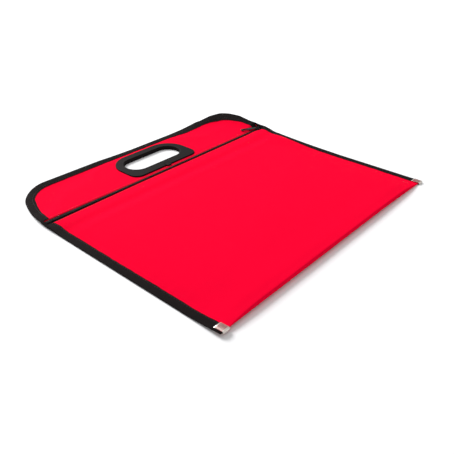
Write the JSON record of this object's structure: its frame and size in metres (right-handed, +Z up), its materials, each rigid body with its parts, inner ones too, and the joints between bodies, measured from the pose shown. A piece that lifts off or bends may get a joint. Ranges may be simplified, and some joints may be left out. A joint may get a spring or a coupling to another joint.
{
  "type": "zip document bag",
  "caption": "Flat red cloth bag with a zip pocket, bound edges, metal end clips and a moulded hand hole in its header.",
  "frame": {"origin": "centre of the bounding box at its base, the surface that the bag lies on", "axes": "+X along the zip towards the end where the closed slider stands, +Y towards the top edge with the hand hole, +Z up out of the front cloth"},
  "size_m": [0.36, 0.334, 0.0074],
  "materials": {
    "bag_cloth": "matt woven polyester",
    "binding_tape": "ribbed woven tape",
    "clip_metal": "nickel plated, ribbed",
    "zip_tape": "woven tape",
    "zip_coil": "nylon coil",
    "zip_cord": "twisted polyester",
    "slider_metal": "gloss black paint",
    "frame_plastic": "fine moulded texture"
  },
  "bodies": {
    "bag": {"back_panel": "bag_cloth", "front_panel": "bag_cloth", "header_panel": "bag_cloth", "edge_binding": "binding_tape", "corner_clip_left": "clip_metal", "corner_clip_right": "clip_metal", "zip_tape_upper": "zip_tape", "zip_tape_lower": "zip_tape", "zip_coil_upper": "zip_coil", "zip_coil_lower": "zip_coil", "zip_cord_upper": "zip_cord", "zip_cord_lower": "zip_cord", "handle_front": "frame_plastic", "handle_back": "frame_plastic"},
    "slider": {"slider_body": "slider_metal"},
    "puller": {"puller_tab": "slider_metal"}
  },
  "joints": [
    {"name": "slider_travel", "type": "slide", "parent": "bag", "child": "slider", "axis": [-1, 0, 0], "range_m": [0, 0.335]},
    {"name": "puller_swing", "type": "hinge", "parent": "slider", "child": "puller", "pos_m": [0.1744, 0.083, 0.00605], "axis": [0.4226, 0.9063, 0], "range_deg": [0, 150]}
  ]
}
